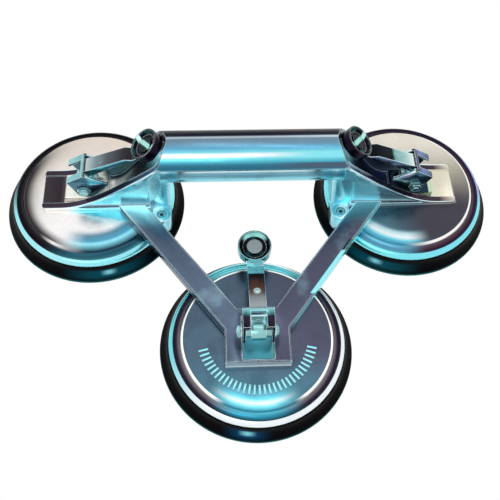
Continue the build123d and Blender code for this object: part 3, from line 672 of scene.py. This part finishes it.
def paint_plate(n, x, y, z):
    top = n.mix(n.rise(x, -20, 20), tone(84, 98, 118), tone(82, 84, 104))
    cloud = n.times(n.rise(n.noise(0.06, 2.0), 0.52, 0.72), 0.5)
    top = n.mix(cloud, top, tone(120, 150, 164))
    # A strip of painted reflection along the right arm's outer edge: cyan, and dark at its end
    inwards = n.minus(n.times(n.minus(y, ARM_CORNER[1]), ARM_SLOPE[1]),
                      n.times(n.minus(x, ARM_CORNER[0]), ARM_SLOPE[0]))
    strip = n.both(n.rise(inwards, 2.5, 2.1), n.rise(x, 20, 24))
    top = n.mix(n.both(strip, n.band(y, -29, 1, 1.0)), top, tone(150, 240, 248))
    top = n.mix(n.both(strip, n.band(y, 1, 9, 1.5)), top, tone(10, 48, 56))
    # Painted reflections brighten the ends of the arms
    arm_end_reflection = n.mix(n.rise(x, -1, 1), tone(206, 236, 240), tone(106, 176, 190))
    top = n.mix(n.rise(y, 18, 36), top, arm_end_reflection)
    # The sides: painted reflection, dark, and cyan out on the right arm, with a painted highlight
    # where they face the front
    side = n.mix(n.rise(x, 20, 26), tone(48, 84, 104), tone(128, 236, 244))
    side = n.mix(n.rise(n.facing()[1], -0.6, -0.9), side, tone(236, 253, 254))
    return n.mix(n.rise(n.facing()[2], 0.5, 0.8), side, top)


plate_metal = metal("cast_aluminium_plate", paint_plate, roughness=0.24, edges=0.95,
                    edge_width=1.1, grain=0.05, crevice_shade=0.2, crevice_shade_reach=1.5, bounce=0.7)
print("plate finish:", plate_metal.name)


# %% [markdown]
# ## Chromed levers
#
# The real levers are pressed from strip steel. Their reflections lie across them, so a ramp along
# the lever holds them as painted reflections: the fork, a black line where the strip bends, the
# strip, and its end under the thumb cup. The cheeks of the back levers have a painted highlight
# above their pin and painted shade below it.

# %% The levers' colours, as ramps by the distance from the cup's axis
BLACK = (10, 10, 16)
LEFT_LEVER = stops(
    (-14, 150, 208, 210), (-4, 134, 190, 194), (-2.4, 160, 210, 212), (-1.9, *BLACK),
    (-0.6, *BLACK), (0, 190, 205, 206), (6, 130, 150, 158), (14, 88, 96, 102),
    (24, 56, 56, 60), (32, 36, 32, 36), (44, 16, 14, 20))
RIGHT_LEVER = stops(
    (-14, 60, 50, 80), (-6, 110, 140, 190), (-2.4, 100, 90, 110), (-1.9, *BLACK),
    (-0.6, *BLACK), (0, 226, 240, 236), (5, 170, 206, 204), (13, 120, 168, 168),
    (15, 24, 30, 34), (44, 14, 14, 20))
FRONT_LEVER = stops(
    (-12, 26, 20, 34), (1, 40, 34, 48), (3.5, 76, 140, 148), (6.2, 150, 210, 214),
    (6.5, *BLACK), (7.2, *BLACK), (7.6, 160, 170, 175), (14, 134, 142, 148),
    (18, 90, 76, 74), (21, 84, 56, 48), (26, 70, 48, 44), (31.6, 36, 26, 28),
    (32.2, 214, 246, 250), (60, 180, 236, 244))


# %% The painter of the back levers
BACK_PIN_Z = 32.9
BACK_PIN_AT = -3.0
BACK_LEVER_SLOPE = 0.437         # how much a back lever climbs


def back_lever_painter(inward, stripes, flank_tone, cheek_highlight, cheek_shade):
    """Colours along a back lever, which points inward: 1 for the left one, -1 for the right."""
    def paint(n, x, y, z):
        along = n.times(n.minus(x, -inward * CUP_X), inward)
        towards_front = n.times(n.facing()[1], -1.0)
        flank = n.mix(n.rise(along, -1, 3), tone(66, 106, 126), flank_tone)
        over_pin = n.minus(n.minus(z, BACK_PIN_Z),
                           n.times(n.minus(along, BACK_PIN_AT), BACK_LEVER_SLOPE))
        # The cheek: painted highlight above the pin, painted shade below it
        on_cheek = n.both(n.rise(over_pin, 3.2, 2.0), n.rise(along, 13, 10))
        cheek = n.mix(n.rise(over_pin, 0.6, -0.6), cheek_highlight, cheek_shade)
        flank = n.mix(on_cheek, flank, cheek)
        return n.mix(n.rise(towards_front, 0.5, 0.8), n.ramp(along, stripes), flank)
    return paint


# %% The painter of the front lever
HIGHLIGHT_SPOT_AT = 19.0                   # a painted highlight spot on the front lever's strip
HIGHLIGHT_SPOT_AMOUNT = 0.9


def paint_front_lever(n, x, y, z):
    along = n.minus(y, FRONT_Y)
    from_highlight_spot = n.polar(n.minus(along, HIGHLIGHT_SPOT_AT), x)[0]
    highlight_spot = n.times(n.rise(from_highlight_spot, 2.6, 1.4), HIGHLIGHT_SPOT_AMOUNT)
    top = n.mix(highlight_spot, n.ramp(along, FRONT_LEVER), tone(196, 224, 224))
    flank = n.mix(n.rise(along, -1, 3), tone(66, 106, 126), tone(70, 160, 172))
    return n.mix(n.rise(n.facing()[0], 0.5, 0.8), top, flank)


# %% Make the three lever finishes
CHROME = {"edges": 1.0, "grain": 0.03, "crevice_shade": 0.5, "crevice_shade_reach": 2.0}
lever_metal = {
    "left": metal("chromed_lever_left",
                  back_lever_painter(1.0, LEFT_LEVER, tone(100, 186, 198),
                                     tone(86, 122, 140), tone(26, 70, 76)),
                  roughness=0.16, **CHROME),
    "right": metal("chromed_lever_right",
                   back_lever_painter(-1.0, RIGHT_LEVER, tone(150, 162, 190),
                                      tone(172, 216, 214), tone(22, 56, 62)),
                   roughness=0.16, **CHROME),
    "front": metal("chromed_lever_front", paint_front_lever, roughness=0.14, bounce=0.3,
                   **CHROME),
}
print("lever finishes:", [finish.name for finish in lever_metal.values()])


# %% [markdown]
# ## Thumb cups and their rivets
#
# The thumb cups are dished and of dark chrome. Each bowl has a painted highlight on one side,
# which is told by the way it faces, so it fits any dish, and teal patches of painted reflection.
# A painted band of light crosses the two at the back, their rivets too.

# %% The band of light
BAND_TURN = {"left": 1.3, "right": -1.3}
BAND_SLOPE = 0.88
THUMB_MIDDLE = {cup: sum(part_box(cup + "_thumb_rivet"), Vector()) / 2 / MM for cup in CUPS}


def light_band(n, cup, x, y):
    """1 on a narrow band of light that crosses a back thumb cup, 0 elsewhere."""
    middle = THUMB_MIDDLE[cup]
    off = n.plus(n.times(n.minus(x, middle.x), BAND_TURN[cup]),
                 n.times(n.minus(y, middle.y), BAND_SLOPE))
    return n.band(off, -2.4, 1.4, 1.2)


# %% The painters of thumb cups and rivets
def thumb_painter(cup, shine, wall):
    """Dark chrome; the bowl has a painted highlight towards one direction, and the wall a painted
    reflection in a colour of its own.
    """
    def paint(n, x, y, z):
        across, along, up = n.facing()
        middle = THUMB_MIDDLE[cup]
        away = n.plus(n.times(n.minus(x, middle.x), across),
                      n.times(n.minus(y, middle.y), along))
        towards = n.plus(n.times(across, -cos(radians(shine))),
                         n.times(along, -sin(radians(shine))))
        # A painted highlight on the bowl's side towards the shine direction, then teal patches of
        # painted reflection
        bright = n.both(n.rise(towards, 0.3, 0.65), n.rise(up, -0.1, 0.2))
        bowl = n.mix(bright, tone(16, 12, 22), tone(150, 222, 216))
        teal_reflection = n.times(n.rise(n.noise(0.1, 1.0), 0.5, 0.6), 0.3)
        bowl = n.mix(teal_reflection, bowl, tone(40, 120, 116))
        if cup in BAND_TURN:
            bowl = n.mix(light_band(n, cup, x, y), bowl, tone(190, 240, 232))
        return n.mix(n.rise(away, 1, 3), bowl, wall)
    return paint


def rivet_painter(cup):
    def paint(n, x, y, z):
        return n.mix(light_band(n, cup, x, y), tone(24, 36, 42), tone(170, 230, 222))
    return paint


# %% Make the finishes of thumb cups and rivets
def thumb_finish(cup, shine, wall):
    return metal("chromed_thumb_cup_" + cup, thumb_painter(cup, shine, wall), roughness=0.1,
                 edges=1.0, edge_width=0.8, grain=0.02, crevice_shade=0.4, crevice_shade_reach=2.0)


thumb_metal = {"left": thumb_finish("left", 170, tone(30, 20, 36)),
               "right": thumb_finish("right", -30, tone(30, 20, 36)),
               "front": thumb_finish("front", 90, tone(96, 172, 178))}
rivet_metal = {cup: metal("rivet_steel_" + cup, rivet_painter(cup), roughness=0.2,
                          edges=0.9, grain=0.1, crevice_shade=0.4) for cup in BAND_TURN}
print("thumb cup and rivet finishes:", len(thumb_metal) + len(rivet_metal))


# %% [markdown]
# ## Small steel parts
#
# These are plain steel of one colour, or of two that change with height: at their size more would
# not show. Their tints are painted reflections of the room, and so the wear plates differ by cup.
# The right wear plate shows the dark room in painted reflection, but for a light strip at its
# outer end.

# %% The small parts' finishes
def even(colour):
    """A painter of one colour."""
    return lambda n, x, y, z: colour


def by_height(low_tone, high_tone):
    """A painter that goes from one colour to another up the lifter."""
    return lambda n, x, y, z: n.mix(n.rise(z, 15, 60), low_tone, high_tone)


rivet_metal["front"] = metal(
    "rivet_steel_front", by_height(tone(140, 152, 156), tone(128, 140, 146)),
    roughness=0.4, edges=0.6, grain=0.2, grain_scale=4.0, crevice_shade=0.4)
RIGHT_WEAR_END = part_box("right_wear_plate")[1].x / MM


def paint_right_wear(n, x, y, z):
    # Painted reflection: light at the plate's outer end, the dark room elsewhere
    at_end = n.rise(x, RIGHT_WEAR_END - 3.0, RIGHT_WEAR_END - 2.4)
    return n.mix(at_end, tone(36, 52, 72), tone(196, 216, 186))


wear_metal = {
    "left": metal("plated_wear_steel_left", even(tone(236, 238, 230)), roughness=0.25,
                  edges=0.9, grain=0.1, crevice_shade=0.4, crevice_shade_reach=3.0),
    "right": metal("plated_wear_steel_right", paint_right_wear, roughness=0.25,
                   edges=0.9, grain=0.1, crevice_shade=0.4, crevice_shade_reach=3.0),
    "front": metal("plated_wear_steel_front", even(tone(66, 136, 152)), roughness=0.3,
                   edges=1.0, edge_width=0.9, grain=0.1, crevice_shade=0.1, crevice_shade_reach=2.0, bounce=0.8),
}
stud_metal = metal("stud_steel", by_height(tone(130, 184, 186), tone(156, 212, 212)),
                   roughness=0.2, edges=1.0, edge_width=0.5, crevice_shade=0.75, crevice_shade_reach=1.5,
                   bounce=0.25)
pin_metal = metal("pin_steel", by_height(tone(120, 166, 170), tone(140, 190, 192)),
                  roughness=0.18, edges=1.0, crevice_shade=0.6, crevice_shade_reach=1.5, bounce=0.15)
screw_metal = metal("screw_steel", by_height(tone(120, 190, 204), tone(150, 210, 220)),
                    roughness=0.25, edge_width=0.4, crevice_shade=0.9, crevice_shade_reach=3.0)
print("wear plate finishes:", len(wear_metal), "and of studs, pins and screws: 3")


# %% [markdown]
# ## Rubber
#
# Black moulded rubber with a soft gloss. It takes a teal shine low at the front, where the cyan
# wall is mirrored in the flared side, with a small bright spot in the middle of it. The lip's
# edge has a dull teal painted reflection at the front. A true reflection would need the wall, so
# the shine and the spot are painted highlights too.

# %% The rubber finish
SHINE_HEIGHTS = (2.6, 7.4, 2.4)  # from, to, and how soft the edge is
HIGHLIGHT_SPOT_HEIGHTS = (4.2, 6.6, 1.6)


def make_rubber(cup, shine_at, half, shine):
    """The rubber of one pad, with its shine towards one direction."""
    material, n, out = new_tree("moulded_rubber_" + cup)
    x, y, z = n.place()
    angle = n.polar(n.minus(x, CENTRES[cup][0]), n.minus(y, CENTRES[cup][1]))[1]
    base = n.mix(n.rise(n.noise(0.6, 4.0), 0.4, 0.7), tone(1, 1, 3), tone(4, 4, 8))
    # The painted shine, and the painted highlight spot in it
    wide = n.both(around(n, angle, shine_at, half, half + 10), n.band(z, *SHINE_HEIGHTS))
    base = n.mix(n.times(wide, 0.85), base, shine)
    highlight_spot = n.both(around(n, angle, shine_at, 3, 7), n.band(z, *HIGHLIGHT_SPOT_HEIGHTS))
    base = n.mix(n.times(highlight_spot, 0.95), base, tone(150, 236, 246))
    # A dull teal painted reflection on the lip's edge at the front
    lip = n.both(n.rise(z, 1.9, 1.1), around(n, angle, -100, 70, 40))
    base = n.mix(n.times(lip, 0.8), base, tone(30, 120, 122))
    dust = n.rise(n.noise(0.2, 5.0), 0.6, 0.8)
    rough = n.plus(0.3, n.times(dust, 0.25))
    normal = use_group(n, FINE_GRAIN, {"Scale": 3.0, "Depth": 0.15}, "Normal")
    shader = n.add("ShaderNodeBsdfPrincipled", {"Base Color": base, "Roughness": rough,
                                                "Specular IOR Level": 0.04, "Normal": normal})
    n.feed(out.inputs["Surface"], shader.outputs["BSDF"])
    return material


rubber = {
    "left": make_rubber("left", -78, 20, tone(4, 84, 98)),
    "right": make_rubber("right", -115, 20, tone(4, 84, 98)),
    "front": make_rubber("front", -98, 8, tone(6, 76, 116)),
}
print("rubber finishes:", [finish.name for finish in rubber.values()])


# %% [markdown]
# ## The modelled pieces
#
# The pads are soft, so they are modelled here. A circle is pulled from ring to
# ring along the pad's profile: the hollow under the pad, the sealing lip with
# two fine grooves in it, the flared side that curves in a little, and the seat
# for the disc. Spinning the profile would do too, but leaves a seam to merge.

# %% Tools for modelled pieces
SHARP = radians(32)              # an edge that turns more than this stays an edge


def pulled_ring(name, profile, sides):
    """A closed ring, pulled from circle to circle along a profile of (radius, height)."""
    bpy.ops.object.select_all(action="DESELECT")
    first_r, first_z = profile[0]
    bpy.ops.mesh.primitive_circle_add(vertices=sides, radius=first_r * MM, location=(0, 0, 0))
    piece = bpy.context.object
    piece.name = name
    bpy.ops.object.mode_set(mode="EDIT")
    bpy.ops.mesh.select_all(action="SELECT")
    bpy.ops.transform.translate(value=(0, 0, first_z * MM))
    for (r_before, z_before), (r, z) in zip(profile, profile[1:]):
        bpy.ops.mesh.extrude_region_move(
            TRANSFORM_OT_translate={"value": (0, 0, (z - z_before) * MM)})
        bpy.ops.transform.resize(value=(r / r_before, r / r_before, 1))
    bpy.ops.mesh.select_all(action="SELECT")
    bpy.ops.mesh.remove_doubles(threshold=0.01 * MM)
    bpy.ops.mesh.fill_holes(sides=0)
    bpy.ops.mesh.normals_make_consistent(inside=False)
    bpy.ops.object.mode_set(mode="OBJECT")
    return piece


def settle(piece, at, body, material, slot, *nodes):
    """Puts a piece's place into its mesh, gives it its body and finish, and hides the nodes that
    it stands for.
    """
    piece.data.transform(Matrix.Translation(at))
    piece.data.materials.clear()
    piece.data.materials.append(material)
    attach(piece, body)
    if nodes:
        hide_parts(*nodes)


# %% Model the pads
PAD_SIDES = 128
PAD_R = 59.9
PAD_TOP = 10.7
LIP_EDGE = 1.2                   # height of the lip's outer edge
FLARE_RISE = 9.0
FLARE_IN = 5.5                   # how much narrower the pad is at the top of its side
FLARE_HOLLOW = 1.5               # how far the side curves in
FLARE_STEPS = 8
COLLAR_BEVEL = 0.3
SEAT_R = 46.0
POCKET_R = 18.3                  # round the foot plate
POCKET_FLOOR = 3.9
GROOVE = 0.35                    # depth of the lip's two grooves


def pad_profile():
    """The pad's section, from the middle of its underside round to the middle of its top."""
    hollow = [(1, 2), (30, 2), (47.2, 2), (48.5, 1.7), (51.7, 0.1)]
    lip = [(52.2, 0), (53.4, 0), (53.6, GROOVE), (54.4, GROOVE), (54.6, 0), (55.8, 0),
           (56, GROOVE), (56.8, GROOVE), (57, 0), (59.6, 0), (PAD_R, 0.3)]
    flare = []
    for k in range(FLARE_STEPS + 1):
        t = k / FLARE_STEPS
        flare.append((PAD_R - FLARE_IN * t - FLARE_HOLLOW * sin(pi * t),
                      LIP_EDGE + FLARE_RISE * t))
    collar_r = flare[-1][0]
    top = [(collar_r, 10.3), (collar_r - COLLAR_BEVEL, PAD_TOP), (SEAT_R, PAD_TOP)]
    pocket = [(POCKET_R + 0.2, PAD_TOP), (POCKET_R, PAD_TOP - 0.2), (POCKET_R, POCKET_FLOOR),
              (1, POCKET_FLOOR)]
    return hollow + lip + flare + top + pocket


for cup in CUPS:
    pad = pulled_ring(cup + "_rubber_pad", pad_profile(), PAD_SIDES)
    pad.data.shade_smooth()
    bpy.ops.object.shade_smooth_by_angle(angle=SHARP)
    low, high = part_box(cup + "_pad")
    middle = (low + high) / 2
    settle(pad, (middle.x, middle.y, 0), "frame", rubber[cup], "pad_rubber", cup + "_pad")
    print(pad.name, "faces:", len(pad.data.polygons))


# %% [markdown]
# ## Rounded edges
#
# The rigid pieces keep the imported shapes. A copy of each is cleaned and its
# edges are rounded a little, because a sharp edge never catches the light. The
# Bevel node of the finishes only shades an edge, and leaves its outline sharp.

# %% Round the rigid pieces
def rounded_copy(node, width, material):
    """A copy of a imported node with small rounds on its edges, which replaces the node."""
    source = frame["nodes"][node]
    body = source["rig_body"]
    bpy.ops.object.select_all(action="DESELECT")
    source.select_set(True)
    bpy.context.view_layer.objects.active = source
    bpy.ops.object.duplicate()
    piece = bpy.context.object
    piece.name = node + "_rounded"
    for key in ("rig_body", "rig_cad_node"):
        if key in piece:
            del piece[key]
    bpy.ops.object.mode_set(mode="EDIT")
    bpy.ops.mesh.select_all(action="SELECT")
    bpy.ops.mesh.customdata_custom_splitnormals_clear()
    bpy.ops.mesh.remove_doubles(threshold=0.002 * MM)
    bpy.ops.mesh.dissolve_limited(angle_limit=radians(0.4))
    bpy.ops.object.mode_set(mode="OBJECT")
    bevel = piece.modifiers.new("rounds", "BEVEL")
    bevel.width = width * MM
    bevel.segments = 2
    bevel.limit_method = "ANGLE"
    bevel.angle_limit = SHARP
    bpy.ops.object.modifier_apply(modifier=bevel.name)
    bpy.ops.object.shade_smooth_by_angle(angle=SHARP)
    slot = [part["material_slot"] for part in frame["record"]["subparts"]
            if part["node"] == node][0]
    settle(piece, (0, 0, 0), body, material, slot, node)
    print(piece.name, "faces:", len(piece.data.polygons))


rounded_copy("v_plate", 0.4, plate_metal)
rounded_copy("handle", 0.3, handle_metal)
for cup in CUPS:
    rounded_copy(cup + "_wear_plate", 0.3, wear_metal[cup])
    rounded_copy(cup + "_lever", 0.25, lever_metal[cup])
    rounded_copy(cup + "_thumb_cup", 0.2, thumb_metal[cup])
    rounded_copy(cup + "_thumb_rivet", 0.2, rivet_metal[cup])
    rounded_copy(cup + "_eye_stud", 0.25, stud_metal)
    rounded_copy(cup + "_cross_pin", 0.2, pin_metal)
    rounded_copy(cup + "_pin_nut", 0.2, pin_metal)


# %% [markdown]
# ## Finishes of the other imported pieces
#
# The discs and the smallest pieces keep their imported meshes, because their
# edges are soft enough or too small to see. Only their materials change.

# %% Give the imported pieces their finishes
def finish_node(node, material):
    mesh = frame["nodes"][node].data
    mesh.materials.clear()
    mesh.materials.append(material)
    print(node, "has", material.name)


for cup in CUPS:
    finish_node(cup + "_disc", disc_metal[cup])
    finish_node(cup + "_foot_plate", screw_metal)
    finish_node(cup + "_pin_washers", pin_metal)
    finish_node(cup + "_pin_spacers", pin_metal)
for node in ("saddle_screws", "plate_screws", "boss_screws"):
    finish_node(node, screw_metal)


# %% [markdown]
# ## Raised marks on the front disc
#
# The real disc has raised lettering here, which names a product. A plain row of
# bars takes its place. An Array modifier turned by an empty could set them round
# the disc, but a loop needs no helper object.

# %% Model the raised bars
DISC_TOP = 18.0
MARK_RADIUS = 33.5
MARK_LENGTH = 6.0
MARK_WIDTH = 1.3
MARK_HEIGHT = 0.5
MARK_ROUND = 0.2
MARK_FIRST = -166                # degrees round the disc
MARK_LAST = -14
MARK_COUNT = 31


def model_marks():
    """One row of rounded bars, made from cubes that are bevelled and set round the disc."""
    bars = []
    for k in range(MARK_COUNT):
        angle = radians(MARK_FIRST + (MARK_LAST - MARK_FIRST) * k / (MARK_COUNT - 1))
        bpy.ops.object.select_all(action="DESELECT")
        bpy.ops.mesh.primitive_cube_add(size=1, location=(0, 0, 0))
        bar = bpy.context.object
        size = Vector((MARK_LENGTH, MARK_WIDTH, MARK_HEIGHT)) * MM
        place = Vector((MARK_RADIUS, 0, DISC_TOP + MARK_HEIGHT / 2)) * MM
        bar.data.transform(Matrix.Diagonal((*size, 1)))
        bar.data.transform(Matrix.Translation(place))
        bar.data.transform(Matrix.Rotation(angle, 4, "Z"))
        bars.append(bar)
    bpy.ops.object.select_all(action="DESELECT")
    for bar in bars:
        bar.select_set(True)
    bpy.context.view_layer.objects.active = bars[0]
    bpy.ops.object.join()
    marks = bpy.context.object
    marks.name = "front_disc_raised_bars"
    bevel = marks.modifiers.new("rounds", "BEVEL")
    bevel.width = MARK_ROUND * MM
    bevel.segments = 2
    bpy.ops.object.modifier_apply(modifier=bevel.name)
    bpy.ops.object.shade_smooth_by_angle(angle=radians(30))
    return marks


marks_metal = metal("raised_mark_metal", even(tone(150, 232, 240)), roughness=0.25,
                    edge_width=0.3, crevice_shade=0.2, crevice_shade_reach=1.0)
marks = model_marks()
settle(marks, (0, FRONT_Y * MM, 0), "frame", marks_metal, "disc_cast")
print("raised bars:", MARK_COUNT)


# %% [markdown]
# ## The studio
#
# A catalogue photo on white. The world is plain white where the camera, a
# mirror or glass looks at it, and a softer grey for the light that it gives.
# Three soft lamps stand round the table: a large one in front, a strip above
# the handle and a weak one at the back. They are weak, because the light of the
# world and the painted reflections do most of the work.

# %% Light the studio
AMBIENT = 0.75
SEEN = 1.0
scene.view_settings.view_transform = "Standard"
world = bpy.data.worlds.new("studio")
scene.world = world
world.use_nodes = True
world.node_tree.nodes.clear()
w = Nodes(world.node_tree)
soft = w.add("ShaderNodeBackground", {"Color": (0.9, 0.96, 1.0), "Strength": AMBIENT})
white = w.add("ShaderNodeBackground", {"Color": (1.0, 1.0, 1.0), "Strength": SEEN})
rays = w.add("ShaderNodeLightPath")
seen = w.larger(w.larger(rays.outputs["Is Camera Ray"], rays.outputs["Is Glossy Ray"]),
                rays.outputs["Is Transmission Ray"])
sky = w.add("ShaderNodeMixShader", {0: seen, 1: soft.outputs[0], 2: white.outputs[0]})
w.add("ShaderNodeOutputWorld", {"Surface": sky.outputs[0]})


def soft_lamp(name, place, aim, width, height, watts):
    """An area lamp at a place, aimed at a point; all in metres."""
    data = bpy.data.lights.new(name, "AREA")
    data.shape = "RECTANGLE"
    data.size = width
    data.size_y = height
    data.energy = watts
    lamp = bpy.data.objects.new(name, data)
    scene.collection.objects.link(lamp)
    towards = Vector(place) - Vector(aim)
    turned = towards.to_track_quat("Z", "Y").to_matrix().to_4x4()
    lamp.matrix_world = Matrix.Translation(place) @ turned


soft_lamp("front_softbox", (-0.35, -0.75, 0.85), (0, 0, 0.02), 0.7, 0.5, 0.9)
soft_lamp("top_strip", (0.1, 0.25, 0.95), (0, 0.03, 0.02), 0.9, 0.2, 0.4)
soft_lamp("back_fill", (0.5, 0.8, 0.5), (0, 0, 0.03), 0.5, 0.5, 0.3)
print("lamps:", [light.name for light in bpy.data.lights])


# %% [markdown]
# The floor is a pale sheet of paper. The camera and the polished metal see it
# as plain white, as in the photo, and it still throws its soft light up.

# %% Lay the floor
FLOOR_SIZE = 3.0
FLOOR_DROP = 0.5                 # how far it lies below the pads, against flicker


def make_paper():
    """The floor's material, with both of its faces: the paper and the plain white."""
    material, n, out = new_tree("pale_floor")
    paper = n.add("ShaderNodeBsdfDiffuse", {"Color": tone(238, 240, 242)})
    glow = n.add("ShaderNodeEmission", {"Color": (1.0, 1.0, 1.0), "Strength": 1.0})
    rays = n.add("ShaderNodeLightPath")
    seen = n.larger(rays.outputs["Is Camera Ray"], rays.outputs["Is Glossy Ray"])
    cover = n.add("ShaderNodeMixShader", {0: seen, 1: paper.outputs[0], 2: glow.outputs[0]})
    n.feed(out.inputs["Surface"], cover.outputs[0])
    return material


bpy.ops.object.select_all(action="DESELECT")
bpy.ops.mesh.primitive_plane_add(size=FLOOR_SIZE, location=(0, 0, 0))
floor = bpy.context.object
floor.name = "studio_floor"
floor.data.transform(Matrix.Translation((0, 0, -FLOOR_DROP * MM)))
floor.data.materials.append(make_paper())
print("floor:", FLOOR_SIZE, "m wide,", FLOOR_DROP, "mm below the pads")
